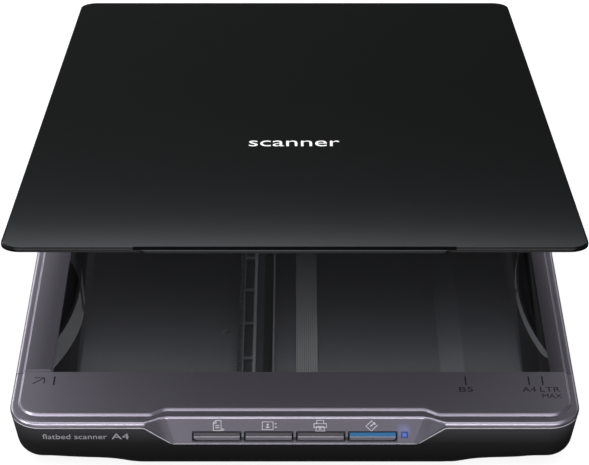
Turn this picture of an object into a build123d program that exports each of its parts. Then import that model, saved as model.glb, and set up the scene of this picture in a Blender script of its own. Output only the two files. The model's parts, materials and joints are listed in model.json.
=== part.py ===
from build123d import *
import os
from math import atan2, cos, degrees, pi, radians, sin, tan

os.makedirs("parts", exist_ok=True)

# A4 flatbed scanner.  Millimetres: x to the right, y to the rear, z up, desk at z = 0.
# The part is stored with its lid raised by LID_OPEN, as if someone were lifting it.

# ---- Driving dimensions -------------------------------------------------------------
WIDTH, DEPTH = 249.0, 364.0          # outline of the base
FRONT, REAR = -DEPTH / 2, DEPTH / 2
CORNER = 14.0                        # plan radius of the base's corners
WALL = 2.2                           # housing wall
DRAFT = 8.0                          # degrees, how much the housing's walls lean in
# The underside as (x, z) from the middle out: a low belly that rises to the sides.
BELLY_X, BELLY_Z = 65.0, 0.3
BELLY_SIDE = ((69.0, 0.4), (72.6, 0.9), (76.0, 1.75), (79.4, 2.45), (84.0, 2.95), (93.0, 3.4),
              (100.0, 3.85))
SIDE_X, SIDE_Z = 110.0, 4.5
ROOM_Z, ROOM_SIDE_Z = 2.7, 6.3       # floor inside, in the belly and at the walls
FOOT_X, FOOT_YS, FOOT_R, FOOT_TOP = 94.0, (-146.0, 150.0), 6.0, 4.0
PARTING_Z = 27.2                     # joint between the lower housing and the frame
LEDGE_Z, DECK_Z = 29.4, 30.5         # low outer ledge and the deck around the glass
LEDGE_ROUND, CREST_ROUND = 1.9, 1.2   # along the ledge's rim, and over the control panel
DECK_INSET, DECK_INSET_FRONT, DECK_REAR = 3.4, 4.9, 163.0
STEP_X, STEP_BACK = (56.4, 62.4), 3.5   # where the deck steps back over the panel
BOTTOM_ROUND, ROOM_ROUND = 9.0, 5.6   # along the bottom edge, outside and inside

OPEN_X = (-107.8, 113.9)             # the glass that is free to see
OPEN_Y = (-147.8, 151.7)
SEAM_Y, SEAM_GAP = -148.0, 0.35      # joint between the front deck and the frame
GLASS = (-112.0, 118.1, -166.0, 158.0)
GLASS_Z = (27.2, 29.2)
ORIGIN_X = -106.4                    # paper's zero edge: widths are read from here
PAPER_WIDTHS = (0.0, 182.0, 210.0, 216.0)
TICK_Y = (-157.2, -151.0)

# Curved ribs on the floor: centre x, y and radius at the foot and at the top, and top z.
CURVED_RIBS = [((-195.6, -74.7, 94.3), (-222.3, -60.9, 118.4), 11.6),
               ((242.3, -61.3, 134.8), (242.1, -59.4, 133.7), 9.0)]
RIB_THICK, RIB_Y = 1.2, (-128.0, -5.0)

PANEL_TOP = (-177.86, 28.6)          # y, z of the control panel's upper edge
PANEL_BOTTOM = (-181.43, 17.75)
PANEL_HALF = (53.5, 57.5, 64.3)      # half widths: foot, top, and where the cheeks end
CHEEK_ROUND = 14.0                   # in the hollow between the panel and each cheek
BUTTON_PITCH, BUTTON_W, BUTTON_H = 22.6, 20.0, 3.6
BUTTON_Z = 20.8
BUTTON_TRAVEL = 0.5
LED_X, LED_W, LED_UP = 47.7, 2.8, 0.75
# Heights along the panel's normal, from the panel's face.
CAP_EDGE, CAP_BACK, FLANGE_BACK = -0.1, -2.6, -3.3
CAP_RIDGE, CAP_ROUND = (0.2, 1.2), 0.5   # up the panel and out of it; the ridge's rounding
PLUNGER_TOP = FLANGE_BACK - BUTTON_TRAVEL - 0.05
SWITCH_TOP, PCB_TOP, PCB_BACK = PLUNGER_TOP - 0.3, PLUNGER_TOP - 1.6, PLUNGER_TOP - 2.6

SCREW_X, SCREW_YS, SCREW_SEAT = 117.2, (-163.0, 5.0, 158.0), 9.0
BOARD_X, BOARD_Y, BOARD_Z = (-4.0, 62.0), (150.0, 172.0), 6.5
BOARD_POSTS = [(x, 165.0) for x in (BOARD_X[0] + 3, BOARD_X[1] - 3)]
USB_X, USB_W, USB_H = 44.0, 8.0, 3.0

LID_OPEN = 12.6                      # degrees from closed to the stored pose
PIVOT_Y, PIVOT_Z = 171.5, 34.5
LID_HALF, LID_FRONT, LID_REAR = 121.85, -182.0, 175.5
LID_CORNER, LID_TOP, LID_EDGE, LID_FOOT = 9.0, 39.0, 37.6, 31.2
LID_BEVEL = (9.0, 15.6, 6.0)         # how far the edge's underside leans in: sides, front, rear
HINGE_X, HINGE_W = 98.0, 12.0
PIN_R, PIN_CLEAR = 1.2, 0.05
POST = (168.0, 175.0, 9.0)           # y from, y to, foot z
LIP = (62.0, 66.5, -183.0, -180.2, 38.2)   # half widths, front, back and top of the finger lip
LID_SCREWS = [(sx * 107.5, y) for sx in (-1, 1) for y in (-156.0, 155.0)]
MAT = (-106.8, 112.0, -146.6, 150.6)
MAT_Z = (29.5, 29.8)                 # white sheet; the foam fills the rest up to the lid
BUMPERS = [(sx * x, y) for sx in (-1, 1) for x, y in ((100.0, -160.0), (75.0, 157.5))]
BUMPER_W = 6.0

RACK_X, RACK_MODULE = -26.0, 0.75    # rack's pitch line
RAIL_Y = (-167.5, 167.5)
GEAR_MODULE = 0.5
PINION_TEETH, WHEEL_TEETH, MOTOR_TEETH = 15, 40, 12
PINION_Y = -156.0
MOTOR_STEP = (-5.0, 12.0)            # from the pinion's axis to the motor's axis
CAR_Y = (-171.0, -153.0)             # carriage tray at home
BAR_X, BAR_Y = (-110.0, 113.0), (-169.0, -155.0)
RIBBON_X = (0.7, 10.9)
FIN = (-19.6, -18.2)                 # the fin that steers the carriage
RAIL_BAR_PITCH, RAIL_BAR_FIRST, RAIL_BARS = 26.4, -160.8, 13
RAIL_X, RAIL_STEP_X = (-23.9, -9.6), -14.8   # the strip that carries the fin, and its low part


# ---- Helpers ------------------------------------------------------------------------
def slab(x0, x1, y0, y1, z0, z1):
    """A box from its six faces."""
    centre = ((x0 + x1) / 2, (y0 + y1) / 2, (z0 + z1) / 2)
    return Pos(*centre) * Box(abs(x1 - x0), abs(y1 - y0), abs(z1 - z0))


def post(x, y, z0, z1, r):
    """An upright cylinder."""
    return Pos(x, y, (z0 + z1) / 2) * Cylinder(r, z1 - z0)


def bar_x(x0, x1, y, z, r):
    """A cylinder along x."""
    return Pos((x0 + x1) / 2, y, z) * Rot(0, 90, 0) * Cylinder(r, x1 - x0)


def outline(x0, x1, y0, y1, r, z):
    """A rounded rectangle lying flat at height z."""
    sketch = RectangleRounded(x1 - x0, y1 - y0, r)
    return Pos((x0 + x1) / 2, (y0 + y1) / 2, z) * sketch


def base_plan(inset, z):
    return outline(-WIDTH / 2 + inset, WIDTH / 2 - inset, FRONT + inset, REAR - inset,
                   CORNER - inset, z)


def prism_xz(points, y0, y1):
    """A polygon given as (x, z) points, drawn out from y0 to y1."""
    flat = make_face(Polyline([(x, y0, z) for x, z in points], close=True))
    return extrude(flat, amount=y1 - y0, dir=(0, 1, 0))


def prism_yz(points, x0, x1):
    """A polygon given as (y, z) points, drawn out from x0 to x1."""
    flat = make_face(Polyline([(x0, y, z) for y, z in points], close=True))
    return extrude(flat, amount=x1 - x0, dir=(1, 0, 0))


def edges_at(shape, z, tolerance=0.02):
    return [e for e in shape.edges()
            if abs(e.bounding_box().min.Z - z) < tolerance
            and abs(e.bounding_box().max.Z - z) < tolerance]


def group(shapes):
    """Loose pieces of one node."""
    return Compound(children=[s.solid() if not isinstance(s, Solid) else s for s in shapes])


def save(name, shape):
    export_step(shape, f"parts/{name}.step")


def raised(shape):
    """Turn a piece drawn with the lid closed to the stored, half open pose."""
    return shape.rotate(Axis((0, PIVOT_Y, PIVOT_Z), (1, 0, 0)), -LID_OPEN)


# ---- Control panel geometry -----------------------------------------------------------
def panel_planes():
    """The slanted panel face and its two cheeks, with normals that point out of the body."""
    (y1, z1), (y0, z0) = PANEL_TOP, PANEL_BOTTOM
    face = Plane(origin=(0, y1, z1), x_dir=(1, 0, 0), z_dir=(0, z0 - z1, y1 - y0))
    planes = [face]
    foot, top, end = PANEL_HALF
    for side in (-1, 1):
        a = Vector(side * end, FRONT, PARTING_Z)
        b = Vector(side * foot, y0, z0)
        c = Vector(side * top, y1, z1)
        normal = (b - a).cross(c - a)
        if normal.X * side > 0:
            normal = normal * -1
        planes.append(Plane(origin=a, z_dir=normal))
    return planes


def panel_space(depth):
    """The open space before the panel, with its faces moved `depth` into the body."""
    space = slab(-90, 90, FRONT - 15, FRONT + 25, 8, 45)
    for plane in panel_planes():
        space = split(space, bisect_by=plane.offset(-depth), keep=Keep.TOP)
    return space


def tongue_block():
    """Where the front deck reaches down into the lower housing, behind the panel."""
    foot, _, end = PANEL_HALF
    low, high = PANEL_BOTTOM[1], PARTING_Z
    corners = [(-end, high), (-foot, low), (foot, low), (end, high)]
    return prism_xz(corners, FRONT - 5, FRONT + 10)


def panel_frame():
    """Local frame on the panel at the middle of the button row, z out of the panel."""
    (y1, z1), (y0, z0) = PANEL_TOP, PANEL_BOTTOM
    y = y0 + (y1 - y0) * (BUTTON_Z - z0) / (z1 - z0)
    return Plane(origin=(0, y, BUTTON_Z), x_dir=(1, 0, 0), z_dir=(0, z0 - z1, y1 - y0))


PANEL = panel_frame()
BUTTON_XS = [BUTTON_PITCH * (i - 1.5) for i in range(4)]


def on_panel(shape):
    return PANEL.location * shape


def pad(x, up, w, h, r, depth0, depth1):
    """A rounded block on the panel, from depth0 to depth1 along the panel's normal."""
    face = Pos(x, up, depth0) * RectangleRounded(w, h, r)
    return on_panel(extrude(face, amount=depth1 - depth0, dir=(0, 0, 1)))


# ---- Lower housing --------------------------------------------------------------------
def housing_block(inset, bottom, round_r):
    """The housing's walls, which lean in downwards, with a flat and rounded bottom."""
    face = base_plan(inset, PARTING_Z)
    block = extrude(face, amount=PARTING_Z - bottom, dir=(0, 0, -1), taper=DRAFT)
    return fillet(edges_at(block, bottom), round_r)


def below_underside():
    """The space under the base, bounded by its curved underside."""
    reach, low = WIDTH, -20.0
    right = [(BELLY_X, BELLY_Z), *BELLY_SIDE, (SIDE_X, SIDE_Z)]
    left = [(-x, z) for x, z in right]
    level = [(1, 0, 0), (1, 0, 0)]

    def at(points):
        return [(x, FRONT - 5, z) for x, z in points]

    edge = (Line(*at([(-reach, SIDE_Z), (-SIDE_X, SIDE_Z)]))
            + Spline(*at(reversed(left)), tangents=level)
            + Line(*at([(-BELLY_X, BELLY_Z), (BELLY_X, BELLY_Z)]))
            + Spline(*at(right), tangents=level)
            + Line(*at([(SIDE_X, SIDE_Z), (reach, SIDE_Z)]))
            + Polyline(*at([(reach, SIDE_Z), (reach, low), (-reach, low), (-reach, SIDE_Z)])))
    return extrude(make_face(edge), amount=DEPTH + 10, dir=(0, 1, 0))


def housing_outside():
    face = base_plan(0, PARTING_Z)
    block = extrude(face, amount=PARTING_Z + 1, dir=(0, 0, -1), taper=DRAFT)
    block -= below_underside()
    rim = [e for e in block.edges()
           if e.bounding_box().max.Z < SIDE_Z + 0.1 and not inner_crease(e)]
    return fillet(rim, BOTTOM_ROUND)


def inner_crease(edge):
    """True for the straight lines across the underside, from front to rear."""
    box = edge.bounding_box()
    return box.size.X < 0.01 and box.size.Y > DEPTH - 20


def housing_room():
    """The space inside the housing, over its stepped floor."""
    room = housing_block(WALL, ROOM_SIDE_Z, ROOM_ROUND)
    floor = [(-105, ROOM_SIDE_Z), (-45, ROOM_Z), (68, ROOM_Z), (79, 5.0), (105, ROOM_SIDE_Z),
             (105, ROOM_SIDE_Z + 7), (-105, ROOM_SIDE_Z + 7)]
    return room + prism_xz(floor, -171.5, 173.5)


def curved_rib(low, high, top):
    """A thin curved rib that leans outwards; low and high are its circles at foot and top."""
    foot = ROOM_SIDE_Z - 0.5

    def cone(thinner):
        rings = [Pos(x, y, z) * Circle(r - thinner) for (x, y, r), z in ((low, foot), (high, top))]
        return loft(rings, ruled=True)

    side = -1 if low[0] < 0 else 1
    window = slab(side * 98, side * 118.5, RIB_Y[0], RIB_Y[1], foot, top)
    return (cone(0) - cone(RIB_THICK)) & window


def lower_housing():
    outer = housing_outside()
    shell = outer - housing_room()
    for y in SCREW_YS:
        for side in (-1, 1):
            x = side * SCREW_X
            shell += (post(x, y, ROOM_SIDE_Z - 1, 10.6, 3.4)
                      + post(x, y, 10.6, PARTING_Z, 2.2)) & outer
            shell -= post(x, y, ROOM_SIDE_Z - 1, PARTING_Z + 1, 1.1)
            shell -= post(x, y, -1, SCREW_SEAT, 2.2)
    for side in (-1, 1):
        for y in FOOT_YS:
            shell -= post(side * FOOT_X, y, -1, FOOT_TOP, FOOT_R)
    for low, high, top in CURVED_RIBS:
        shell += curved_rib(low, high, top) & outer
    shell -= tongue_block()
    shell -= usb_window()
    for x, y in BOARD_POSTS:
        shell += post(x, y, ROOM_Z - 0.2, BOARD_Z, 2.2)
        shell -= post(x, y, ROOM_Z, BOARD_Z + 1, 0.8)
    return shell


def usb_window():
    z = BOARD_Z + 1.6 + USB_H / 2
    return slab(USB_X - 6.5, USB_X + 6.5, REAR - 7, REAR + 2, z - 4.2, z + 4.2)


# ---- Upper frame and front deck ---------------------------------------------------------
def deck_plan(z):
    """The deck's outline, stepped back in front over the control panel."""
    side, y = WIDTH / 2 - DECK_INSET, FRONT + DECK_INSET_FRONT
    plan = outline(-side, side, y, DECK_REAR, CORNER - DECK_INSET, z)
    inner, outer = STEP_X
    back = y + STEP_BACK
    shape = [(-outer, y - 2), (-outer, y), (-inner, back), (inner, back), (outer, y),
             (outer, y - 2)]
    notch = make_face(Polyline([(x, yy, z) for x, yy in shape], close=True))
    plan = (plan - notch).face()
    bends = [v for v in plan.vertices()
             if inner - 1 < abs(v.X) < outer + 1 and v.Y < back + 1]
    return fillet(bends, 4.0)


def upper_shell():
    """The frame and the front deck in one, before the seam parts them."""
    ledge = extrude(base_plan(0, PARTING_Z), amount=LEDGE_Z - PARTING_Z, dir=(0, 0, 1))
    ledge = fillet(edges_at(ledge, LEDGE_Z), LEDGE_ROUND)
    deck = extrude(deck_plan(LEDGE_Z), amount=DECK_Z - LEDGE_Z, dir=(0, 0, 1), taper=38)
    shell = ledge + deck
    shell = fillet(edges_at(shell, DECK_Z), 0.9)
    shell -= extrude(outline(-118.5, 118.5, -176, 160, 8, PARTING_Z),
                     amount=28.7 - PARTING_Z, dir=(0, 0, 1))
    x0, x1, y0, y1 = GLASS
    shell -= slab(x0 - 0.4, x1 + 0.4, y0 - 0.4, y1 + 0.4, PARTING_Z - 1, GLASS_Z[1] + 0.3)
    shell -= slab(*OPEN_X, SEAM_Y, OPEN_Y[1], PARTING_Z - 1, DECK_Z + 1)
    return shell


def top_frame(shell):
    frame = shell & slab(-200, 200, SEAM_Y + SEAM_GAP / 2, 200, 0, 60)
    y0, y1, _ = POST
    for side in (-1, 1):
        x = side * HINGE_X
        frame -= slab(x - HINGE_W / 2 - 0.3, x + HINGE_W / 2 + 0.3, y0 - 0.3, y1 + 0.3, 20, 40)
    groove_x = (-118.5, -110.0)
    frame -= slab(*groove_x, SEAM_Y + 1.6, SEAM_Y + 2.1, DECK_Z - 0.35, DECK_Z + 1)
    return frame


def before_panel():
    """The open space before the panel, rounded where its cheeks begin."""
    space = panel_space(0)
    foot, top, _ = PANEL_HALF
    creases = [e for e in space.edges()
               if e.length > 20 and abs(e.tangent_at(0.5).X) > 0.2
               and abs(e.tangent_at(0.5).Z) > 0.8]
    return fillet(creases, CHEEK_ROUND)


def front_deck(shell):
    deck = shell & slab(-200, 200, -200, SEAM_Y - SEAM_GAP / 2, 0, 60)
    wall = (panel_space(2.2) & tongue_block()) & slab(-90, 90, FRONT, -150, 0, 60)
    deck = deck + wall - before_panel()
    crest = [e for e in deck.edges()
             if e.length > 90 and abs(e.center().Z - LEDGE_Z) < 0.6
             and PANEL_TOP[0] - 1 < e.center().Y < PANEL_TOP[0] + 1.4
             and abs(e.tangent_at(0.5).X) > 0.99]
    if crest:
        deck = fillet(crest, CREST_ROUND)
    for x in BUTTON_XS:
        deck -= pad(x, 0, BUTTON_W + 0.7, BUTTON_H + 0.7, 0.9, -6, 3)
    deck -= pad(LED_X, LED_UP, LED_W + 0.2, LED_W + 0.2, 0.4, -6, 3)
    for w in PAPER_WIDTHS:
        x = ORIGIN_X + w
        deck -= slab(x - 0.35, x + 0.35, *TICK_Y, DECK_Z - 0.3, DECK_Z + 1)
    return deck


# ---- Buttons, light and their board -----------------------------------------------------
def button(index):
    """A long key with a ridge along it; the row's outer keys have one bigger lower corner."""
    x = BUTTON_XS[index]
    w, h = BUTTON_W / 2, BUTTON_H / 2
    flat = Pos(x, 0, CAP_BACK) * Rectangle(BUTTON_W, BUTTON_H)
    outer_x = {0: x - w, 3: x + w}.get(index)
    big = [v for v in flat.vertices()
           if outer_x is not None and abs(v.X - outer_x) < 0.01 and v.Y < -h + 0.01]
    if big:
        flat = fillet(big, 1.8)
    small = [v for v in flat.vertices() if abs(v.X - x) > w - 0.01
             and not (outer_x is not None and abs(v.X - outer_x) < 2 and v.Y < 0)]
    flat = fillet(small, 0.6)
    up, out = CAP_RIDGE
    section = [(-h, CAP_BACK), (h, CAP_BACK), (h, CAP_EDGE), (up, out), (-h, CAP_EDGE)]
    cap = prism_yz(section, x - w, x + w)
    ridge = [e for e in cap.edges() if e.length > BUTTON_W - 1 and abs(e.center().Z - out) < 0.01]
    cap = fillet(ridge, CAP_ROUND) & extrude(flat, amount=out + 1 - CAP_BACK, dir=(0, 0, 1))
    flange = slab(x - w + 2, x + w - 2, -h + 0.4, h - 0.4, FLANGE_BACK, CAP_BACK)
    return on_panel(cap + flange)


def button_board():
    board = on_panel(slab(-46, 53, -4.2, 3.4, PCB_BACK, PCB_TOP))
    for x in (-22.6, 22.6):
        board -= on_panel(post(x, 0, PCB_BACK - 1, PCB_TOP + 1, 0.9))
    return board


def tact_switches():
    keys = []
    for x in BUTTON_XS:
        body = slab(x - 3, x + 3, -1.8, 1.8, PCB_TOP, SWITCH_TOP)
        keys.append(on_panel(body + post(x, 0, SWITCH_TOP, PLUNGER_TOP, 1.2)))
    return group(keys)


def status_lens():
    return pad(LED_X, LED_UP, LED_W, LED_W, 0.3, PCB_TOP + 1.1, 0.15)


def status_led():
    return on_panel(slab(LED_X - 0.8, LED_X + 0.8, LED_UP - 0.6, LED_UP + 0.6,
                         PCB_TOP, PCB_TOP + 0.8))


def panel_connector():
    return on_panel(slab(46, 52, -3.6, -1.8, PCB_TOP, PCB_TOP + 1.6))


# ---- Glass and what is stuck to it -------------------------------------------------------
def glass_tape():
    """Adhesive strips between the glass and the frame's lip."""
    x0, x1, y0, y1 = GLASS
    low, high = GLASS_Z[1], GLASS_Z[1] + 0.3
    return group([
        slab(x0, x0 + 3.6, SEAM_Y + 2, y1, low, high),
        slab(x1 - 3.6, x1, SEAM_Y + 2, y1, low, high),
        slab(x0 + 3.8, x1 - 3.8, y1 - 5.6, y1, low, high),
        slab(x0, x1, SEAM_Y - 6, SEAM_Y - 2.5, low, high),
    ])


# ---- Drive ------------------------------------------------------------------------------
def gear_blank(teeth, module, z0, z1, turn):
    """A spur gear with straight-sided teeth, thinned a little so that the pair runs free."""
    pitch_r = module * teeth / 2
    root, tip = pitch_r - 1.2 * module, pitch_r + 0.9 * module
    step = 2 * pi / teeth
    play = 0.05 / pitch_r
    half_root, half_pitch, half_tip = 0.37 * step, 0.25 * step - play, 0.115 * step
    points = []
    for i in range(teeth):
        centre = radians(turn) + i * step
        for radius, angle in ((root, -half_root), (pitch_r, -half_pitch), (tip, -half_tip),
                              (tip, half_tip), (pitch_r, half_pitch), (root, half_root)):
            a = centre + angle
            points.append((radius * cos(a), radius * sin(a), z0))
    return extrude(make_face(Polyline(points, close=True)), amount=z1 - z0, dir=(0, 0, 1))


PINION_X = RACK_X - RACK_MODULE * PINION_TEETH / 2
MOTOR_X, MOTOR_Y = PINION_X + MOTOR_STEP[0], PINION_Y + MOTOR_STEP[1]


def reduction_gear():
    """The wheel that the motor drives, in one piece with the pinion that climbs the rack."""
    pinion = gear_blank(PINION_TEETH, RACK_MODULE, 4.0, 9.0, 0)
    wheel = gear_blank(WHEEL_TEETH, GEAR_MODULE, 9.0, 11.0, 0)
    return Pos(PINION_X, PINION_Y, 0) * (pinion + wheel - post(0, 0, 3, 12, 1.05))


def mesh_turn():
    """The motor pinion's turn, in degrees, that puts a gap of its teeth on the wheel's tooth."""
    line = atan2(MOTOR_STEP[1], MOTOR_STEP[0])
    past_tooth = line % (2 * pi / WHEEL_TEETH)
    turn = line + pi + past_tooth * WHEEL_TEETH / MOTOR_TEETH + pi / MOTOR_TEETH
    return degrees(turn)


def motor_pinion():
    gear = gear_blank(MOTOR_TEETH, GEAR_MODULE, 8.8, 11.5, mesh_turn())
    return Pos(MOTOR_X, MOTOR_Y, 0) * (gear + post(0, 0, 11.5, 14.6, 0.75))


def drive_rack():
    """Straight rack: its gaps stand where the pinion's teeth come."""
    m, pitch = RACK_MODULE, RACK_MODULE * pi
    y0, y1 = RAIL_Y
    tip, root, back = RACK_X - 0.9 * m, RACK_X + 1.2 * m, RACK_X + 2.0
    count = int((y1 - y0) / pitch) - 1
    first = PINION_Y + pitch / 2 - pitch * int((PINION_Y + pitch / 2 - y0) / pitch)
    points = [(back, y0), (root, y0)]
    for i in range(count):
        y = first + i * pitch
        if y - 0.4 * pitch < y0 or y + 0.4 * pitch > y1:
            continue
        points += [(root, y - 0.36 * pitch), (tip, y - 0.115 * pitch),
                   (tip, y + 0.115 * pitch), (root, y + 0.36 * pitch)]
    points += [(root, y1), (back, y1)]
    flat = make_face(Polyline([(x, y, ROOM_Z) for x, y in points], close=True))
    return extrude(flat, amount=8.2 - ROOM_Z, dir=(0, 0, 1))


def guide_rail():
    """Strip on the floor with the fin that steers the carriage, and cross bars beside it."""
    (x0, x1), (y0, y1) = RAIL_X, RAIL_Y
    rail = slab(x0, x1, y0, y1, ROOM_Z, ROOM_Z + 0.4)
    rail += slab(x0, RAIL_STEP_X, y0, y1, ROOM_Z, ROOM_Z + 1.2)
    rail += slab(*FIN, y0, y1, 3.0, 8.6)
    rail += slab(x1 - 0.8, x1, y0, y1, 3.0, 4.9)
    for k in range(RAIL_BARS):
        y = RAIL_BAR_FIRST + k * RAIL_BAR_PITCH
        rail += slab(x0, FIN[0], y - 1.0, y + 1.0, 3.0, 5.2)
    return rail


# ---- Carriage ---------------------------------------------------------------------------
def carriage_tray():
    y0, y1 = CAR_Y
    x0, x1 = BAR_X[0] - 1.6, BAR_X[1] + 1.6
    tray = slab(x0, x1, y0, y1, 12.0, 19.0)
    tray -= slab(BAR_X[0] - 0.3, BAR_X[1] + 0.3, BAR_Y[0] - 0.3, BAR_Y[1] + 0.3, 13.4, 20)
    tray += slab(-48.0, -14.5, y1 - 2, -136.0, 12.0, 13.2)
    tray -= post(MOTOR_X, MOTOR_Y, 11, 14, 2.4)
    for ya, yb in ((-171.0, -167.5), (-150.0, -139.0)):
        shoe = slab(FIN[0] - 2.1, FIN[1] + 2.1, ya, yb, 6.0, 12.0)
        tray += shoe - slab(FIN[0] - 0.15, FIN[1] + 0.15, ya - 1, yb + 1, 5, 9.0)
    return tray


def sensor_springs():
    springs = []
    for x in (BAR_X[0] + 12, BAR_X[1] - 12):
        path = Helix(pitch=0.62, height=2.0, radius=2.2)
        start = Plane(origin=path @ 0, z_dir=path % 0)
        coil = sweep(start * Circle(0.22), path=path, is_frenet=True)
        springs.append(Pos(x, sum(BAR_Y) / 2, 13.7) * coil)
    return group(springs)


def sensor_housing():
    x0, x1 = BAR_X
    y0, y1 = BAR_Y
    body = slab(x0, x1, y0, y1, 16.0, 26.0)
    body -= slab(x0 + 4, x1 - 4, y0 + 2, y1 - 2, 15, 24.2)
    body -= slab(x0 + 4, x1 - 4, y0 + 5.4, y1 - 3.4, 23, 27)
    return body


# ---- Lid --------------------------------------------------------------------------------
def lid_plan(inset, z):
    return outline(-LID_HALF + inset, LID_HALF - inset, LID_FRONT + inset, LID_REAR - inset,
                   LID_CORNER - inset, z)


def lid_bevel():
    """The solid under the lid's edge, whose sides lean in towards the foot."""
    side, front, rear = LID_BEVEL
    foot = outline(-LID_HALF + side, LID_HALF - side, LID_FRONT + front, LID_REAR - rear,
                   LID_CORNER - 3, LID_FOOT)
    return loft([lid_plan(0, LID_EDGE), foot])


def lid_cavity(clear):
    """Half width, front and rear of the hollow under the lid, less a clearance."""
    side, front, rear = LID_BEVEL
    return (LID_HALF - side - 1.6 - clear, LID_FRONT + front + 1.6 + clear,
            LID_REAR - rear - 2.2 - clear)


def lid_cover():
    plate = extrude(lid_plan(0, 37.2), amount=LID_TOP - 37.2, dir=(0, 0, 1))
    plate = fillet(edges_at(plate, LID_TOP), 0.9)
    cover = plate + lid_bevel()
    x1, y0, y1 = lid_cavity(0)
    cover -= slab(-x1, x1, y0, y1, 30, 37.2)
    inner, outer, front, back, top = LIP
    corners = [(-outer, back), (-inner, front), (inner, front), (outer, back)]
    cover -= slab(-outer, outer, LID_FRONT - 1, back, top, LID_TOP + 1)
    flat = make_face(Polyline([(x, y, LID_EDGE - 0.4) for x, y in corners], close=True))
    lip = extrude(flat, amount=top - LID_EDGE + 0.4, dir=(0, 0, 1))
    cover += lip
    for side in (-1, 1):
        x = side * HINGE_X
        cover -= slab(x - 10, x + 10, 160, LID_REAR + 2, 30, 37.2)
    return cover


def lid_inner_panel():
    x1, y0, y1 = lid_cavity(0.3)
    panel = slab(-x1, x1, y0, y1, LID_FOOT, LID_FOOT + 1.8)
    for x in (-100, -50, 0, 50, 100):
        panel += slab(x - 0.6, x + 0.6, y0 + 6, y1 - 12, LID_FOOT + 1.8, 37.0)
    for y in (-160, -80, 0, 80, 150):
        panel += slab(-x1 + 6, x1 - 6, y - 0.6, y + 0.6, LID_FOOT + 1.8, 37.0)
    for side in (-1, 1):
        x = side * HINGE_X
        panel -= slab(x - 6.6, x + 6.6, PIVOT_Y - 6.5, y1 + 1, 30, 40)
        for a, b in ((-9.6, -6.4), (6.4, 9.6)):
            ear = slab(x + a, x + b, 158, PIVOT_Y, LID_FOOT, 37.0)
            ear += bar_x(x + a, x + b, PIVOT_Y, PIVOT_Z, 2.5)
            panel += ear - bar_x(x + a - 1, x + b + 1, PIVOT_Y, PIVOT_Z, PIN_R)
    for x, y in LID_SCREWS:
        panel -= post(x, y, 30, LID_FOOT + 1.9, 1.3)
    return panel


def hinge_post(side):
    """A sliding post with a knuckle on top, so that the lid can also rise for a thick book."""
    x = side * HINGE_X
    y0, y1, foot = POST
    half = HINGE_W / 2
    body = slab(x - half, x + half, y0, y1, foot, 27.0)
    neck = slab(x - half, x + half, PIVOT_Y - 2.4, PIVOT_Y + 2.4, 27.0, PIVOT_Z)
    knuckle = bar_x(x - half, x + half, PIVOT_Y, PIVOT_Z, 2.4)
    hole = bar_x(x - half - 1, x + half + 1, PIVOT_Y, PIVOT_Z, PIN_R + PIN_CLEAR)
    return body + neck + knuckle - hole


def hinge_sockets():
    y0, y1, _ = POST
    half = HINGE_W / 2
    room = housing_block(WALL + 0.1, ROOM_SIDE_Z + 0.1, ROOM_ROUND)
    sockets = []
    for side in (-1, 1):
        x = side * HINGE_X
        tube = slab(x - half - 2.2, x + half + 2.2, y0 - 2.2, y1 + 1.9, 5.0, PARTING_Z - 0.1)
        tube &= room
        tube -= slab(x - half - 0.15, x + half + 0.15, y0 - 0.15, y1 + 0.15, POST[2] - 0.1, 40)
        sockets.append(tube)
    return group(sockets)


# ---- Write the parts --------------------------------------------------------------------
def screw(x, y, head_z, tip_z, head_r, shank_r, head_h):
    """A screw whose head is at the lower end."""
    low, high = head_z, head_z + head_h
    head = post(x, y, low, high, head_r) - slab(x - 0.3, x + 0.3, y - 1.4, y + 1.4, low, low + 0.5)
    return head + post(x, y, high, tip_z, shank_r)


def write_base():
    shell = upper_shell()
    save("lower_housing", lower_housing())
    save("top_frame", top_frame(shell))
    save("front_deck", front_deck(shell))
    x0, x1, y0, y1 = GLASS
    save("platen_glass", slab(x0, x1, y0, y1, *GLASS_Z))
    save("glass_tape", glass_tape())
    save("calibration_strip", slab(x0 + 2, x1 - 2, -165, -155, GLASS_Z[1], GLASS_Z[1] + 0.2))
    feet = [post(sx * FOOT_X, y, 0, FOOT_TOP, FOOT_R) for sx in (-1, 1) for y in FOOT_YS]
    save("rubber_feet", group(feet))
    screws = [screw(sx * SCREW_X, y, SCREW_SEAT - 1.6, 20, 2.0, 1.1, 1.6)
              for sx in (-1, 1) for y in SCREW_YS]
    save("housing_screws", group(screws))
    save("hinge_sockets", hinge_sockets())
    save("drive_rack", drive_rack())
    save("guide_rail", guide_rail())


def write_controls():
    for index, name in enumerate(("page_button", "send_button", "copy_button", "start_button")):
        save(name, button(index))
    save("status_lens", status_lens())
    save("status_led", status_led())
    save("button_board", button_board())
    save("tact_switches", tact_switches())
    save("panel_connector", panel_connector())


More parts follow.
